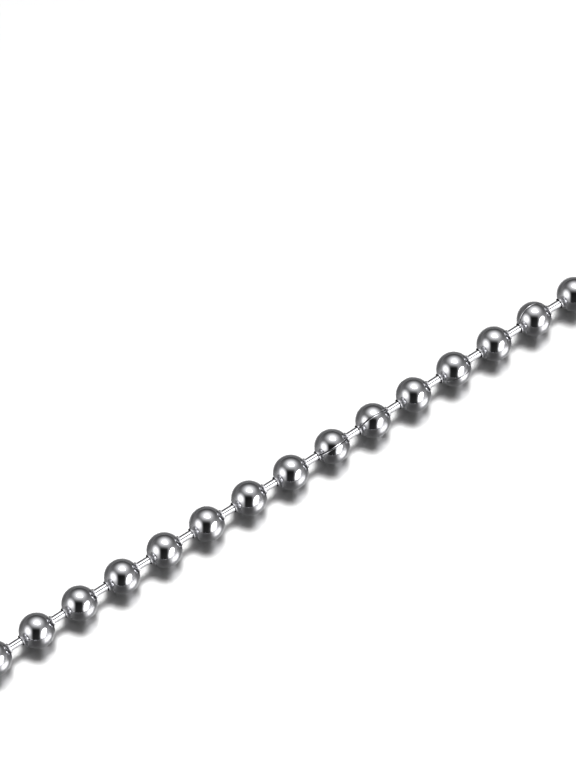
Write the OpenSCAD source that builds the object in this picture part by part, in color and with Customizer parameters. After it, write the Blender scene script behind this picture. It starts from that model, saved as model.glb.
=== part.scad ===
// Ball chain necklace: hollow sheet metal balls on short dumbbell pins, closed by a sleeve clasp
// that holds the two end balls. It lies flat on a surface as one closed loop, with a straight front
// run, a half-round bend at each end and a straight back run with the clasp in its middle.
// Millimetres, +Z up. The origin is on the surface, under the middle of the whole loop.

/* [Chain] */
// Length of the closed necklace along its middle line, clasp included
necklace_length = 600; // [450:10:750]
// Clear space between one ball and the next
ball_gap = 2.55; // [2.2:0.05:3.2]

/* [Ball] */
// Diameter of a ball
ball_d = 6; // [5:0.1:7]
// Thickness of the sheet that a ball is rolled from
ball_wall = 0.4; // [0.3:0.05:0.6]
// Thickness of the lip round each of a ball's two holes
lip_wall = 0.1; // [0.08:0.02:0.2]
// How far a lip stands out past the round of the ball
lip_rise = 0.15; // [0.1:0.05:0.3]

/* [Pin] */
// Diameter of a pin's wire
pin_d = 1.3; // [1:0.05:1.5]
// Clear space round a pin in a ball's hole
pin_clear = 0.15; // [0.14:0.01:0.25]
// How far a pin's head stands out round its wire
head_rim = 0.4; // [0.3:0.05:0.6]
// Thickness of a pin's head
head_t = 0.5; // [0.3:0.05:0.8]
// Clear space between a pin's head and the wall of its ball
head_clear = 0.25; // [0.2:0.01:0.35]

/* [Clasp] */
// Thickness of the clasp's sheet
clasp_wall = 0.4; // [0.3:0.05:0.6]
// Clear space between a ball and the inside of the clasp
clasp_clear = 0.15; // [0.14:0.01:0.3]
// How much narrower than a ball the clasp's mouth is, so that a ball snaps through it
mouth_grip = 0.2; // [0.1:0.05:0.6]
// Clear space on each side of a pin that passes through the clasp's slot
slot_clear = 0.2; // [0.15:0.01:0.3]
// Clear space round a pin in the hole at each end of the clasp
end_clear = 0.5; // [0.4:0.05:0.8]

/* [Lay] */
// Radius of the half-round bend at each end of the laid loop
bend_r = 51; // [45:1:65]
// How far the laid chain strays to each side of its line
stray = 0.12; // [0:0.02:0.2]
// How many times it strays out and back round the whole loop
stray_waves = 8; // [2:2:10]

/* [Hidden] */
$fn = 64;

// How far a cutter runs past what it cuts
past = 1;
steel = [0.76, 0.76, 0.78];

// Ball and pin, both measured from a ball's centre along its holes
ball_r = ball_d / 2;
hollow_r = ball_r - ball_wall;
hole_d = pin_d + 2 * pin_clear;
lip_d = hole_d + 2 * lip_wall;
lip_reach = ball_r + lip_rise;
head_d = pin_d + 2 * head_rim;
head_reach = sqrt(pow(hollow_r - head_clear, 2) - pow(head_d / 2, 2));
// A pin turns in the middle of its hole's wall, between the hollow and the end of the lip
pivot_reach = (sqrt(pow(hollow_r, 2) - pow(hole_d / 2, 2)) + lip_reach) / 2;

// Clasp, measured from its middle. A ball at its seat leaves room for another in the mouth
seat_reach = ball_d + clasp_clear;
sleeve_in_r = ball_r + clasp_clear;
sleeve_r = sleeve_in_r + clasp_wall;
end_in_reach = seat_reach + lip_reach + clasp_clear;
end_reach = end_in_reach + clasp_wall;
slot_w = pin_d + 2 * slot_clear;
end_hole_d = pin_d + 2 * end_clear;
mouth_d = ball_d - mouth_grip;

// The balls share the length that the two seats in the clasp leave
ball_count = 1 + round((necklace_length - 2 * seat_reach) / (ball_d + ball_gap));
pitch = (necklace_length - 2 * seat_reach) / (ball_count - 1);
pin_shank = pitch - 2 * head_reach;

// Length of the straight front run, and of the back run
run = (necklace_length - 2 * PI * bend_r) / 2;
// The clasp is wider than a ball, so it lifts the two end balls
clasp_lift = sleeve_r - ball_r;

// The route is measured by s, the length along it from the middle of the clasp
function drift(s) = -stray * cos(360 * stray_waves * (s / necklace_length - 1 / 2));

// Left half of the loop: half the back run, the left bend and half the front run
function left_half(s) =
    let (r = bend_r + drift(s), turned = (s - run / 2) / bend_r * 180 / PI)
    turned < 0 ? [-s, -r] :
    turned < 180 ? [-run / 2 - r * sin(turned), -r * cos(turned)] :
    [s - necklace_length / 2, r];

// The end balls lie level in the clasp, and the chain comes down to the surface in one pitch
function height(s) =
    let (from_clasp = min(s, necklace_length - s))
    ball_r + clasp_lift * max(0, min(1, (seat_reach + pivot_reach + pitch - from_clasp) / pitch));

function route(s) =
    let (right = s > necklace_length / 2, p = left_half(right ? necklace_length - s : s))
    [right ? -p.x : p.x, p.y, height(s)];

// Where the pins turn in ball i: side is -1 for its first hole and 1 for its second
function pivot(i, side) = route(seat_reach + i * pitch + side * pivot_reach);
function centre(i) = (pivot(i, -1) + pivot(i, 1)) / 2;

// The loop is set so that its front balls and the back of the clasp lie equally far from the origin
front_y = max([for (i = [0 : ball_count - 1]) centre(i).y]) + ball_r;
back_y = (centre(0).y + centre(ball_count - 1).y) / 2 - sleeve_r;
mid_y = (front_y + back_y) / 2;

// Puts a piece whose length is along Z midway between two points of the route, in line with them
module between(a, b) {
    along = b - a;
    translate((a + b) / 2 - [0, mid_y, 0])
        rotate([0, acos(along.z / norm(along)), atan2(along.y, along.x)])
            children();
}

module ball() {
    difference() {
        union() {
            sphere(r = ball_r);
            cylinder(d = lip_d, h = 2 * lip_reach, center = true);
        }
        sphere(r = hollow_r);
        cylinder(d = hole_d, h = 2 * (lip_reach + past), center = true);
    }
}

module pin() {
    cylinder(d = pin_d, h = pin_shank + head_t, center = true);
    for (end = [-1, 1])
        translate([0, 0, end * (pin_shank + head_t) / 2])
            cylinder(d = head_d, h = head_t, center = true);
}

// A tube with domed ends, both shaped by one sphere round its middle
module barrel(r, reach) {
    intersection() {
        cylinder(r = r, h = 2 * (reach + past), center = true);
        sphere(r = reach);
    }
}

module balls() {
    color(steel)
        for (i = [0 : ball_count - 1])
            between(pivot(i, -1), pivot(i, 1))
                ball();
}

module pins() {
    color(steel)
        for (i = [0 : ball_count - 2])
            between(pivot(i, 1), pivot(i + 1, -1))
                pin();
}

// The sleeve's local -X side lies uppermost. The mouth takes a ball, and the slots lead its pin
// to the hole in each end.
module clasp() {
    color(steel)
        between(centre(ball_count - 1), centre(0))
            difference() {
                barrel(sleeve_r, end_reach);
                barrel(sleeve_in_r, end_in_reach);
                cylinder(d = end_hole_d, h = 2 * (end_reach + past), center = true);
                translate([-sleeve_r - past, -slot_w / 2, -end_reach - past])
                    cube([sleeve_r + past, slot_w, 2 * (end_reach + past)]);
                rotate([0, -90, 0])
                    cylinder(d = mouth_d, h = sleeve_r + past);
            }
}

balls();
pins();
clasp();
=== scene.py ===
import math
import random

import bmesh
import bpy
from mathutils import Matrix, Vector


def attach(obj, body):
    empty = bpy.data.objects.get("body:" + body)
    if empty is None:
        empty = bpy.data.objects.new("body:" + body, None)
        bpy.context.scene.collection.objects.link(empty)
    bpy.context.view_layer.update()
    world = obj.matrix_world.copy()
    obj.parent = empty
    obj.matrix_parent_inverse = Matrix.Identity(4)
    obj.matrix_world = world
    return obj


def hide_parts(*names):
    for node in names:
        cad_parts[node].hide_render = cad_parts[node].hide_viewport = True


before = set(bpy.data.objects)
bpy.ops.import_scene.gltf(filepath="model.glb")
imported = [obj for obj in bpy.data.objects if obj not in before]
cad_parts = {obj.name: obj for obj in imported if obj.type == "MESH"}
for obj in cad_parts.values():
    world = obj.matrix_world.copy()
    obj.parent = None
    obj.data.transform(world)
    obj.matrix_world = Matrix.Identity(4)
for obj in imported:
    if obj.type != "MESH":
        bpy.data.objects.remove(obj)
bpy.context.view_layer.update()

# Balls: each is a strip of stainless sheet steel, rolled hollow round the heads of its two pins and
# then tumble polished. The strip's edges meet in a fine seam that runs from hole to hole, and the
# sheet stands out a little round each hole as a lip.
mm = 0.001

# Places nearer to each other than this count as one
hair = 0.001 * mm


def loose_solids(node):
    """The corners of each loose solid of a CAD node."""
    copy = bmesh.new()
    copy.from_mesh(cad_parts[node].data)
    bmesh.ops.remove_doubles(copy, verts=copy.verts, dist=hair)
    solids = []
    seen = set()
    for corner in copy.verts:
        if corner in seen:
            continue
        seen.add(corner)
        solid = [corner]
        # The list grows while it is gone through, until no corner in it has a new neighbour
        for known in solid:
            for edge in known.link_edges:
                other = edge.other_vert(known)
                if other not in seen:
                    seen.add(other)
                    solid.append(other)
        solids.append([corner.co.copy() for corner in solid])
    copy.free()
    return solids


# The end rims of a turned solid lie beyond this share of the distance to its farthest corner
rim_share = 0.96


def rims(corners):
    """The middles of a turned solid's two end rims, which are the corners that lie farthest out."""
    middle = (Vector(map(min, *corners)) + Vector(map(max, *corners))) / 2
    farthest = max((corner - middle).length for corner in corners)
    out = [corner for corner in corners if (corner - middle).length > rim_share * farthest]
    one = [corner for corner in out if (corner - middle).dot(out[0] - middle) > 0]
    other = [corner for corner in out if (corner - middle).dot(out[0] - middle) <= 0]
    ends = sum(one, Vector()) / len(one), sum(other, Vector()) / len(other)
    return sorted(ends, key=lambda end: end.x)


def from_axis(corner, start, end):
    """How far a corner lies from the line through two points."""
    along = (end - start).normalized()
    return (corner - start).cross(along).length


# A ball rests on the table at z = 0, so its radius is the height of its middle
ball_solids = loose_solids("balls")
ball_ends = [rims(corners) for corners in ball_solids]
ball_middles = [(start + end) / 2 for start, end in ball_ends]
ball_r = min(middle.z for middle in ball_middles)
lip_reach = (ball_ends[0][1] - ball_ends[0][0]).length / 2
hollow_r = min((corner - ball_middles[0]).length for corner in ball_solids[0])
hole_r = min(from_axis(corner, *ball_ends[0]) for corner in ball_solids[0])

# Only the lips stand out beyond this
proud_from = 1.01 * ball_r
proud = [corner for corner in ball_solids[0] if (corner - ball_middles[0]).length > proud_from]
lip_r = max(from_axis(corner, *ball_ends[0]) for corner in proud)
lip_wall = lip_r - hole_r

# The sheet turns up into the lip over this much, by way of two places. Each is given by how far out
# from the lip and how far up it lies, as shares of it.
lip_sweep = 0.06 * mm
sweep_places = [(0.3, 0.25), (0, 0.9)]

# How far the steel is dulled: tumbled to a mirror, out of the tumbler's full reach, or a raw shear-cut
# edge.
# From satin on, the same value darkens the colour as painted shade, fullest on the raw edge.
polished = 0
satin = 0.5
sheared_and_shaded = 1

# The neighbouring balls keep the tumbler off the skin beyond this height above the ball's waist. There
# it dulls bit by bit, up to this much beside the lip.
dull_from_z = 0.72 * ball_r
dullest_skin = 0.42

# Places across the seam, and how far the sheet sinks at each
seam_half = [(0.07 * mm, 0.05 * mm), (0.11 * mm, 0.008 * mm), (0.2 * mm, 0)]
seam_depth = seam_half[0][1]
seam = [(-across, deep) for across, deep in reversed(seam_half)] + seam_half

# Rows of faces over the skin, over each lip's edge and over each half of the hollow, and columns of
# corners round the ball apart from the seam's own
skin_rows = 16
lip_rows = 4
hollow_rows = 2
ball_columns = 32


def arc(radius, first_deg, last_deg, steps, at=(0, 0)):
    """Points of (distance from the axis, height) round an arc. Angles are measured from the axis."""
    turns = [math.radians(first_deg + (last_deg - first_deg) * i / steps) for i in range(steps + 1)]
    return [(at[0] + radius * math.sin(turn), at[1] + radius * math.cos(turn)) for turn in turns]


def ball_profile():
    """The sheet's section from the ball's waist over the upper lip and back inside to its waist. Each
    point has its distance from the axis, its height, whether the seam cuts it, and its dullness, which
    past satin also sets the shade painted on it."""
    start_r = lip_r + lip_sweep
    start_deg = math.degrees(math.asin(start_r / ball_r))
    start_z = math.sqrt(ball_r**2 - start_r**2)
    lip_z = lip_reach - lip_wall / 2
    outside = arc(ball_r, 90, start_deg, skin_rows // 2)
    sweep = [(lip_r + out * lip_sweep, start_z + up * lip_sweep) for out, up in sweep_places]
    edge = arc(lip_wall / 2, 90, -90, lip_rows, at=(hole_r + lip_wall / 2, lip_z))
    hollow_deg = math.degrees(math.asin(hole_r / hollow_r))
    inside = arc(hollow_r, hollow_deg, 90, hollow_rows)
    toward_lip = [max(0, (z - dull_from_z) / (start_z - dull_from_z)) for r, z in outside]
    skin = [(r, z, 1, dullest_skin * share) for (r, z), share in zip(outside, toward_lip)]
    # The lip's sweep is satin. Its edge and the hollow are raw shear-cut steel, rough and with full
    # painted shade
    stretches = [(sweep + edge[:1], 1, satin), (edge[1:] + inside, 0, sheared_and_shaded)]
    return skin + [(r, z, cut, dull_and_shade) for points, cut, dull_and_shade in stretches for r, z in points]


def ball_mesh():
    """One ball about Z, with its seam on the +X side. Its attribute marks what the tumbler missed, and
    where shade is painted: on the lip's raw edge, in the hollow and on the seam's floor. Where the sheet
    is round, the normals are a sphere's own, so its mirror images aren't faceted."""
    half = ball_profile()
    section = half + [(r, -z, cut, dull_and_shade) for r, z, cut, dull_and_shade in reversed(half[1:-1])]
    made = bmesh.new()
    dull_and_shade_layer = made.verts.layers.float.new("dull_and_shade")
    rings = []
    for r, z, cut, dull_and_shade in section:
        columns = [(math.asin(across / r), deep) for across, deep in seam]
        side = columns[-1][0]
        left = 2 * math.pi - 2 * side
        columns += [(side + left * i / (ball_columns + 1), 0) for i in range(1, ball_columns + 1)]
        ring = []
        for turn, deep in columns:
            place = Vector((r * math.cos(turn), r * math.sin(turn), z))
            corner = made.verts.new(place - place.normalized() * deep * cut)
            # The seam's floor is rough like a raw edge and gets painted shade, fading out up the groove's
            # sides
            corner[dull_and_shade_layer] = max(dull_and_shade, sheared_and_shaded * deep / seam_depth)
            ring.append(corner)
        rings.append(ring)
    for ring, following in zip(rings, rings[1:] + rings[:1]):
        for i in range(len(ring)):
            j = (i + 1) % len(ring)
            made.faces.new((ring[i], ring[j], following[j], following[i])).smooth = True
    bmesh.ops.recalc_face_normals(made, faces=made.faces)
    made.normal_update()
    normals = []
    for corner in made.verts:
        beside_lip = math.hypot(corner.co.x, corner.co.y) < lip_r + lip_sweep / 2
        is_round = corner.co.length > ball_r - hair and not beside_lip
        normals.append(corner.co.normalized() if is_round else corner.normal.copy())
    mesh = bpy.data.meshes.new("ball")
    made.to_mesh(mesh)
    made.free()
    mesh.normals_split_custom_set_from_vertices(normals)
    return mesh


def to_linear(hex_colour):
    """An sRGB hex colour as the linear colour that a shader takes."""
    shares = [int(hex_colour[i : i + 2], 16) / 255 for i in (1, 3, 5)]
    return [s / 12.92 if s <= 0.04045 else ((s + 0.055) / 1.055) ** 2.4 for s in shares] + [1]


def add(tree, kind, settings={}, **inputs):
    """Adds a node with its settings. An input is named with _ for a space, or by its place as in_0."""
    node = tree.nodes.new(kind)
    for name, value in settings.items():
        setattr(node, name, value)
    for name, value in inputs.items():
        key = int(name.removeprefix("in_")) if name.startswith("in_") else name.replace("_", " ")
        if isinstance(value, bpy.types.NodeSocket):
            tree.links.new(value, node.inputs[key])
        else:
            node.inputs[key].default_value = value
    return node


def threading_tree():
    """Sets a copy of one part on each point, with its Z along the point's axis. Its X is turned up, and
    from there on by the point's roll."""
    tree = bpy.data.node_groups.new("Thread on a line", "GeometryNodeTree")
    tree.interface.new_socket("Points", in_out="INPUT", socket_type="NodeSocketGeometry")
    tree.interface.new_socket("Part", in_out="INPUT", socket_type="NodeSocketObject")
    tree.interface.new_socket("Part size", in_out="INPUT", socket_type="NodeSocketFloat")
    tree.interface.new_socket("Steel", in_out="INPUT", socket_type="NodeSocketMaterial")
    tree.interface.new_socket("Chain", in_out="OUTPUT", socket_type="NodeSocketGeometry")
    given = add(tree, "NodeGroupInput").outputs
    stored = "GeometryNodeInputNamedAttribute"
    axis = add(tree, stored, {"data_type": "FLOAT_VECTOR"}, Name="axis").outputs[0]
    roll = add(tree, stored, {"data_type": "FLOAT"}, Name="roll").outputs[0]
    along = add(tree, "FunctionNodeAlignRotationToVector", {"axis": "Z"}, Vector=axis).outputs[0]
    z_axis = (0, 0, 1)
    about_z = {"axis": "X", "pivot_axis": "Z"}
    up = add(tree, "FunctionNodeAlignRotationToVector", about_z, Rotation=along, Vector=z_axis).outputs[0]
    turn = add(tree, "FunctionNodeAxisAngleToRotation", Axis=z_axis, Angle=roll).outputs[0]
    local = {"rotation_space": "LOCAL"}
    turned = add(tree, "FunctionNodeRotateRotation", local, Rotation=up, Rotate_By=turn).outputs[0]
    part = add(tree, "GeometryNodeObjectInfo", Object=given["Part"]).outputs["Geometry"]
    copies = add(
        tree,
        "GeometryNodeInstanceOnPoints",
        Points=given["Points"],
        Instance=part,
        Rotation=turned,
        Scale=given["Part size"],
    ).outputs[0]
    joined = add(tree, "GeometryNodeRealizeInstances", Geometry=copies).outputs[0]
    finished = add(tree, "GeometryNodeSetMaterial", Geometry=joined, Material=given["Steel"]).outputs[0]
    add(tree, "NodeGroupOutput", Chain=finished)
    return tree


threading = threading_tree()


def thread(name, ends, rolls, part_mesh, steel):
    """One mesh with a copy of part_mesh between each pair of ends."""
    places = bpy.data.meshes.new(name + "_places")
    places.from_pydata([(start + end) / 2 for start, end in ends], [], [])
    places.attributes.new("axis", "FLOAT_VECTOR", "POINT")
    places.attributes.new("roll", "FLOAT", "POINT")
    for i, (start, end) in enumerate(ends):
        places.attributes["axis"].data[i].vector = (end - start).normalized()
        places.attributes["roll"].data[i].value = rolls[i]
    holder = bpy.data.objects.new(name + "_places", places)
    part = bpy.data.objects.new(name + "_part", part_mesh)
    bpy.context.collection.objects.link(holder)
    bpy.context.collection.objects.link(part)
    modifier = holder.modifiers.new("Threading", "NODES")
    modifier.node_group = threading
    sockets = threading.interface.items_tree
    key = {socket.name: socket.identifier for socket in sockets if socket.in_out == "INPUT"}
    modifier[key["Part"]] = part
    modifier[key["Part size"]] = 1.0
    modifier[key["Steel"]] = steel
    holder.update_tag()
    ready = holder.evaluated_get(bpy.context.evaluated_depsgraph_get())
    mesh = bpy.data.meshes.new_from_object(ready)
    mesh.name = name
    bpy.data.objects.remove(holder)
    bpy.data.objects.remove(part)
    for attribute in ("axis", "roll"):
        mesh.attributes.remove(mesh.attributes[attribute])
    piece = bpy.data.objects.new(name, mesh)
    bpy.context.collection.objects.link(piece)
    return piece


def polished_ball_steel():
    """Stainless steel, tumble polished: a mirror, softened by fine marks that run every way."""
    steel = bpy.data.materials.new("Tumble polished stainless steel")
    steel.use_nodes = True
    tree = steel.node_tree
    tree.nodes.clear()
    place = add(tree, "ShaderNodeTexCoord").outputs["Object"]
    # Real tumble marks are about 0.02 mm wide. They are drawn 0.25 mm wide, or they wouldn't show
    mark_width = 0.25 * mm
    mark_depth = 0.001 * mm
    fine = dict(Scale=1 / mark_width, Detail=3.0, Roughness=0.6)
    marks = add(tree, "ShaderNodeTexNoise", Vector=place, **fine).outputs[0]
    # The sheet isn't quite round after rolling: shallow waves about 2 mm long
    wave_length = 2.2 * mm
    wave_depth = 0.018 * mm
    waves = add(tree, "ShaderNodeTexNoise", Vector=place, Scale=1 / wave_length, Detail=1.0).outputs[0]
    wavy = add(tree, "ShaderNodeBump", Height=waves, Distance=wave_depth).outputs[0]
    marked = add(tree, "ShaderNodeBump", Normal=wavy, Height=marks, Distance=mark_depth)
    # The marks scatter a little more light than the mirror between them
    limits = dict(From_Min=0.3, From_Max=0.7, To_Min=0.05, To_Max=0.1)
    tumbled = add(tree, "ShaderNodeMapRange", Value=marks, **limits).outputs[0]
    satin_roughness = 0.42
    dull_and_shade = add(tree, "ShaderNodeAttribute", {"attribute_name": "dull_and_shade"}).outputs["Fac"]
    missed = add(tree, "ShaderNodeMapRange", Value=dull_and_shade, From_Min=polished, From_Max=satin).outputs[0]
    roughnesses = dict(A=tumbled, B=satin_roughness)
    roughness = add(tree, "ShaderNodeMix", {"data_type": "FLOAT"}, Factor=missed, **roughnesses)
    # A shear-cut edge is torn. Painted shade: past satin the colour darkens to near black, fullest on the
    # lip's edge, in the hollow and on the floor of the seam between two such edges, where little light
    # gets in
    painted_shade = add(tree, "ShaderNodeMapRange", Value=dull_and_shade, From_Min=satin, From_Max=sheared_and_shaded).outputs[0]
    # The polished steel's own colour, and the near black of the painted shade
    steel_and_shade_colours = dict(A=to_linear("#B9B9BC"), B=to_linear("#2A2A2C"))
    colour = add(tree, "ShaderNodeMix", {"data_type": "RGBA"}, Factor=painted_shade, **steel_and_shade_colours)
    surface = add(
        tree,
        "ShaderNodeBsdfPrincipled",
        Base_Color=colour.outputs["Result"],
        Metallic=1.0,
        Roughness=roughness.outputs[0],
        Normal=marked.outputs[0],
    )
    add(tree, "ShaderNodeOutputMaterial", Surface=surface.outputs[0])
    return steel


# Where the seam shows on the front run's balls, in degrees from the top of a ball towards the camera.
# The first whole ball at the left of the picture is ball 0, and x is 0 halfway between balls 6 and 7.
seam_turns = {3: -60, 4: -45, 6: 160, 7: 33, 8: 13, 9: -55, 10: 64, 12: -22}
number_at_x_0 = 6.5

# Chance turns the other seams: to the underside on the front half of the loop, where none shows, and
# to the upper side on the back half.
underside = (100, 260)
ball_pitch = min((ball_middles[0] - middle).length for middle in ball_middles[1:])
chance = random.Random(6)
ball_rolls = []
for middle in ball_middles:
    number = round(middle.x / ball_pitch + number_at_x_0)
    turn = chance.uniform(*underside)
    if middle.y > 0:
        turn = seam_turns.get(number, turn)
    else:
        turn += 180
    ball_rolls.append(math.radians(turn))

balls = thread("steel_balls", ball_ends, ball_rolls, ball_mesh(), polished_ball_steel())
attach(balls, "root")
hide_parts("balls")

# Pins: short lengths of drawn stainless wire, with a head pressed up at each end inside a ball. They
# turn in the balls' holes, so the chain bends at each of them.
pin_solids = loose_solids("pins")
pin_ends = [rims(corners) for corners in pin_solids]
pin_half = (pin_ends[0][1] - pin_ends[0][0]).length / 2
wire_r = min(from_axis(corner, *pin_ends[0]) for corner in pin_solids[0])
head_r = max(from_axis(corner, *pin_ends[0]) for corner in pin_solids[0])

# How thick a head is, and how far out and how far along the wire flares into it
head_t = 0.5 * mm
flare_out = 0.05 * mm
flare_along = 0.08 * mm

# Rows of faces round a head's edge and along the wire, and columns of corners round it
head_rows = 6
wire_rows = 8
pin_columns = 28


def pin_mesh():
    """One pin about Z. The attribute wire holds its own place, which the drawing lines follow."""
    corner_r = head_t / 2
    head = [(0, pin_half), ((head_r - corner_r) / 2, pin_half)]
    head += arc(corner_r, 0, 180, head_rows, at=(head_r - corner_r, pin_half - corner_r))
    wire_z = pin_half - head_t - flare_along
    half = head + [(wire_r + flare_out, pin_half - head_t), (wire_r, wire_z)]
    middle = [(wire_r, wire_z * (1 - 2 * i / wire_rows)) for i in range(1, wire_rows)]
    section = half + middle + [(r, -z) for r, z in reversed(half)]
    made = bmesh.new()
    rings = []
    for r, z in section:
        turns = [2 * math.pi * i / pin_columns for i in range(pin_columns if r else 1)]
        rings.append([made.verts.new((r * math.cos(turn), r * math.sin(turn), z)) for turn in turns])
    for ring, following in zip(rings, rings[1:]):
        for i in range(pin_columns):
            j = (i + 1) % pin_columns
            corners = [ring[i % len(ring)], ring[j % len(ring)]]
            corners += [following[j % len(following)], following[i % len(following)]]
            # At the middle of a head two of the corners are one, which counts once
            made.faces.new(dict.fromkeys(corners)).smooth = True
    bmesh.ops.recalc_face_normals(made, faces=made.faces)
    mesh = bpy.data.meshes.new("pin")
    made.to_mesh(mesh)
    made.free()
    places = mesh.attributes.new("wire", "FLOAT_VECTOR", "POINT")
    for corner in mesh.vertices:
        places.data[corner.index].vector = corner.co
    return mesh


def drawn_wire_steel():
    """Stainless steel wire, drawn bright through a die, which leaves fine lines along its length."""
    steel = bpy.data.materials.new("Drawn stainless steel wire")
    steel.use_nodes = True
    tree = steel.node_tree
    tree.nodes.clear()
    own_place = add(tree, "ShaderNodeAttribute", {"attribute_name": "wire"}).outputs["Vector"]
    # Real drawing lines are about 0.01 mm apart. They are drawn 0.12 mm apart, or they wouldn't show
    line_gap = 0.12 * mm
    line_depth = 0.001 * mm
    # Each line is this many gaps long
    gaps_long = 25
    stretch = add(tree, "ShaderNodeMapping", Vector=own_place, Scale=(1, 1, 1 / gaps_long)).outputs[0]
    lines = add(tree, "ShaderNodeTexNoise", Vector=stretch, Scale=1 / line_gap, Detail=2.0).outputs[0]
    ridged = add(tree, "ShaderNodeBump", Height=lines, Distance=line_depth)
    surface = add(
        tree,
        "ShaderNodeBsdfPrincipled",
        Base_Color=to_linear("#9E9EA1"),
        Metallic=1.0,
        Roughness=0.12,
        Normal=ridged.outputs[0],
    )
    add(tree, "ShaderNodeOutputMaterial", Surface=surface.outputs[0])
    return steel


pin_rolls = [math.radians(chance.uniform(0, 360)) for ends in pin_ends]
pins = thread("wire_pins", pin_ends, pin_rolls, pin_mesh(), drawn_wire_steel())
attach(pins, "root")
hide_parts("pins")

# Clasp: a sleeve of stainless sheet steel with domed ends. A ball snaps through the mouth on its upper
# side, and its pin slides along the slot to the hole in the end.
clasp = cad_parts["clasp"]


def polished_sleeve_steel():
    """Stainless sheet steel, rolled to a sleeve and polished on a wheel, which leaves lines round it."""
    steel = bpy.data.materials.new("Wheel polished stainless sheet steel")
    steel.use_nodes = True
    tree = steel.node_tree
    tree.nodes.clear()
    place = add(tree, "ShaderNodeTexCoord").outputs["Object"]
    # Real polishing lines are about 0.02 mm apart. They are drawn 0.2 mm apart, or they wouldn't show
    line_gap = 0.2 * mm
    line_depth = 0.002 * mm
    # Each line is this many gaps long
    gaps_long = 20
    round_x = (1, 1 / gaps_long, 1 / gaps_long)
    stretch = add(tree, "ShaderNodeMapping", Vector=place, Scale=round_x).outputs[0]
    lines = add(tree, "ShaderNodeTexNoise", Vector=stretch, Scale=1 / line_gap, Detail=3.0).outputs[0]
    ridged = add(tree, "ShaderNodeBump", Height=lines, Distance=line_depth)
    surface = add(
        tree,
        "ShaderNodeBsdfPrincipled",
        Base_Color=to_linear("#C6C6C9"),
        Metallic=1.0,
        Roughness=0.24,
        Normal=ridged.outputs[0],
    )
    add(tree, "ShaderNodeOutputMaterial", Surface=surface.outputs[0])
    return steel


clasp.data.materials.clear()
clasp.data.materials.append(polished_sleeve_steel())

# Table: card with a pearl coat. It is white where the light behind glares on it, and it takes a soft
# mirror image of what lies on it.
table_r = 6.0
table_sides = 64


def pearl_card():
    """Card under a satin coat of titania flakes, whose high IOR makes the lamps glare on it. The grey
    under the coat is dark, because the white is that glare."""
    card = bpy.data.materials.new("Pearl coated card")
    card.use_nodes = True
    tree = card.node_tree
    tree.nodes.clear()
    grey = to_linear("#464646")
    surface = add(tree, "ShaderNodeBsdfPrincipled", Base_Color=grey, Roughness=0.345, IOR=3.42)
    add(tree, "ShaderNodeOutputMaterial", Surface=surface.outputs[0])
    return card


made = bmesh.new()
bmesh.ops.create_circle(made, cap_ends=True, segments=table_sides, radius=table_r)
table_mesh = bpy.data.meshes.new("table")
made.to_mesh(table_mesh)
made.free()
table_mesh.materials.append(pearl_card())
table = bpy.data.objects.new("table", table_mesh)
bpy.context.collection.objects.link(table)

# Camera: a long lens, which looks down on the front run from the inside of the loop. It is aimed at the
# point of the table in the middle of the picture.
camera_heading = -35.55
camera_elevation = 60
camera_distance = 0.784
aim = Vector((6.3 * mm, 66.6 * mm, 0))


def toward(side_deg, elevation_deg):
    """A direction. Side 0 is straight away from the camera, and 90 is to its right."""
    turn = math.radians(90 + camera_heading - side_deg)
    rise = math.radians(elevation_deg)
    return Vector((math.cos(turn) * math.cos(rise), math.sin(turn) * math.cos(rise), math.sin(rise)))


lens = bpy.data.cameras.new("camera")
lens.lens = 216.5
lens.sensor_width = 36
lens.clip_start = 0.01
camera = bpy.data.objects.new("camera", lens)
bpy.context.collection.objects.link(camera)
back = toward(180, camera_elevation)
camera.location = aim + back * camera_distance
camera.rotation_mode = "QUATERNION"
camera.rotation_quaternion = (-back).to_track_quat("-Z", "Y")
bpy.context.scene.camera = camera

# Light: a tent of grey cloth. A lamp behind the necklace and one at its right shine through the cloth
# with a glow round each, and there is a glow at the left and a low one at the right. The camera looks in
# through a dark opening, and the table takes its white from the glow behind.

# Sides and elevations are in degrees. Widths and heights are sines of half the angle that a lamp spans,
# and one over 1 is cut off at a right angle. The share of it that is evenly bright is full.
lamps = {
    "behind": dict(side=11, elevation=68.7, width=0.34, height=0.18, full=0.86, radiance=5.8),
    "glow behind": dict(side=3.5, elevation=60.5, width=0.85, height=0.81, full=0, radiance=2.5),
    "glow at left": dict(side=-110, elevation=28.8, width=0.67, height=0.57, full=0, radiance=2.75),
    "right": dict(side=115, elevation=30.5, width=0.38, height=0.25, full=0.9, radiance=10.5),
    "glow at right": dict(side=124, elevation=30.5, width=0.95, height=1.3, full=0, radiance=0.5),
    "low glow at right": dict(side=138, elevation=14, width=0.62, height=0.5, full=0, radiance=3.0),
}

# The cloth's own light: what there is all round, what comes on top to the right, away from the camera
# and overhead, and the least that is left of it
tent_grey = dict(all_round=0.461, right=-0.005, away=-0.343, overhead=-0.5, least=0.01)

# The opening: its half width and the place of its far edge, which are sines too, how soft its sides and
# that edge are, and the share of the light that it takes away
opening = dict(half_width=0.44, soft=0.27, edge_away=-0.235, edge_soft=0.435, dark=0.955)

smoothly = {"interpolation_type": "SMOOTHSTEP"}


def shares_along(tree, ray, axes):
    """How far a ray points along each axis."""
    dot_product = {"operation": "DOT_PRODUCT"}
    found = [add(tree, "ShaderNodeVectorMath", dot_product, in_0=ray, in_1=axis) for axis in axes]
    return [node.outputs["Value"] for node in found]


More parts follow.
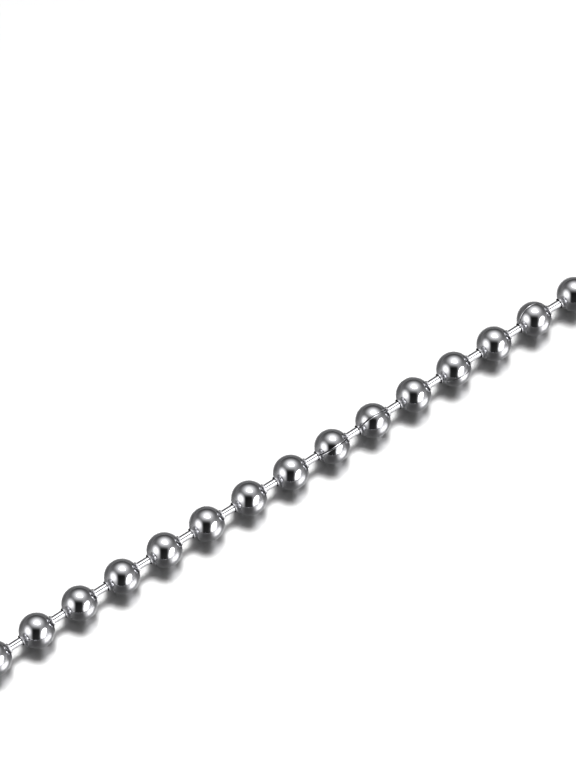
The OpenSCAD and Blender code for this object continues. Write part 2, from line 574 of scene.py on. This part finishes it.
def lamp_light(tree, ray, side, elevation, width, height, full, radiance):
    """The light of a lamp that is evenly bright in its middle and fades to its edge."""
    middle = toward(side, elevation)
    across = toward(side + 90, 0) / width
    upright = middle.cross(toward(side - 90, 0)) / height
    off_across, off_up, ahead = shares_along(tree, ray, [across, upright, middle])
    spot = add(tree, "ShaderNodeCombineXYZ", X=off_across, Y=off_up).outputs[0]
    off_middle = add(tree, "ShaderNodeVectorMath", {"operation": "LENGTH"}, in_0=spot).outputs["Value"]
    fade = dict(From_Min=full, From_Max=1, To_Min=radiance, To_Max=0)
    bright = add(tree, "ShaderNodeMapRange", smoothly, Value=off_middle, **fade).outputs[0]
    facing = add(tree, "ShaderNodeMath", {"operation": "GREATER_THAN"}, in_0=ahead, in_1=0).outputs[0]
    return add(tree, "ShaderNodeMath", {"operation": "MULTIPLY"}, in_0=bright, in_1=facing).outputs[0]


def cloth_light(tree, right, away, overhead):
    """The cloth's own light. What comes on top overhead goes by the square of how far overhead it is."""
    multiply = {"operation": "MULTIPLY"}
    squared = add(tree, "ShaderNodeMath", multiply, in_0=overhead, in_1=overhead).outputs[0]
    light = tent_grey["all_round"]
    for way, share in dict(right=right, away=away, overhead=squared).items():
        on_top = add(tree, "ShaderNodeMath", multiply, in_0=share, in_1=tent_grey[way]).outputs[0]
        light = add(tree, "ShaderNodeMath", {"operation": "ADD"}, in_0=light, in_1=on_top).outputs[0]
    least = tent_grey["least"]
    return add(tree, "ShaderNodeMath", {"operation": "MAXIMUM"}, in_0=light, in_1=least).outputs[0]


def light_left(tree, right, away):
    """The share of the light that the opening leaves."""
    soft = opening["soft"] / 2
    fade = dict(From_Min=opening["half_width"] - soft, From_Max=opening["half_width"] + soft)
    sideways = add(tree, "ShaderNodeMath", {"operation": "ABSOLUTE"}, in_0=right).outputs[0]
    across = add(tree, "ShaderNodeMapRange", smoothly, Value=sideways, To_Min=1, To_Max=0, **fade)
    soft = opening["edge_soft"] / 2
    dark = opening["dark"]
    fade = dict(From_Min=opening["edge_away"] - soft, From_Max=opening["edge_away"] + soft)
    near = add(tree, "ShaderNodeMapRange", smoothly, Value=away, To_Min=dark, To_Max=0, **fade)
    both = dict(in_0=across.outputs[0], in_1=near.outputs[0])
    taken = add(tree, "ShaderNodeMath", {"operation": "MULTIPLY"}, **both).outputs[0]
    return add(tree, "ShaderNodeMath", {"operation": "SUBTRACT"}, in_0=1, in_1=taken).outputs[0]


def light_tent():
    """The world: what the steel mirrors."""
    world = bpy.data.worlds.new("light tent")
    world.use_nodes = True
    tree = world.node_tree
    tree.nodes.clear()
    ray = add(tree, "ShaderNodeTexCoord").outputs["Generated"]
    right, away, overhead = shares_along(tree, ray, [toward(90, 0), toward(0, 0), Vector((0, 0, 1))])
    light = cloth_light(tree, right, away, overhead)
    for lamp in lamps.values():
        shining = lamp_light(tree, ray, **lamp)
        light = add(tree, "ShaderNodeMath", {"operation": "ADD"}, in_0=light, in_1=shining).outputs[0]
    left = light_left(tree, right, away)
    light = add(tree, "ShaderNodeMath", {"operation": "MULTIPLY"}, in_0=light, in_1=left).outputs[0]
    background = add(tree, "ShaderNodeBackground", Color=(1, 1, 1, 1), Strength=light)
    add(tree, "ShaderNodeOutputWorld", Surface=background.outputs[0])
    return world


bpy.context.scene.world = light_tent()
bpy.context.scene.view_settings.view_transform = "Standard"
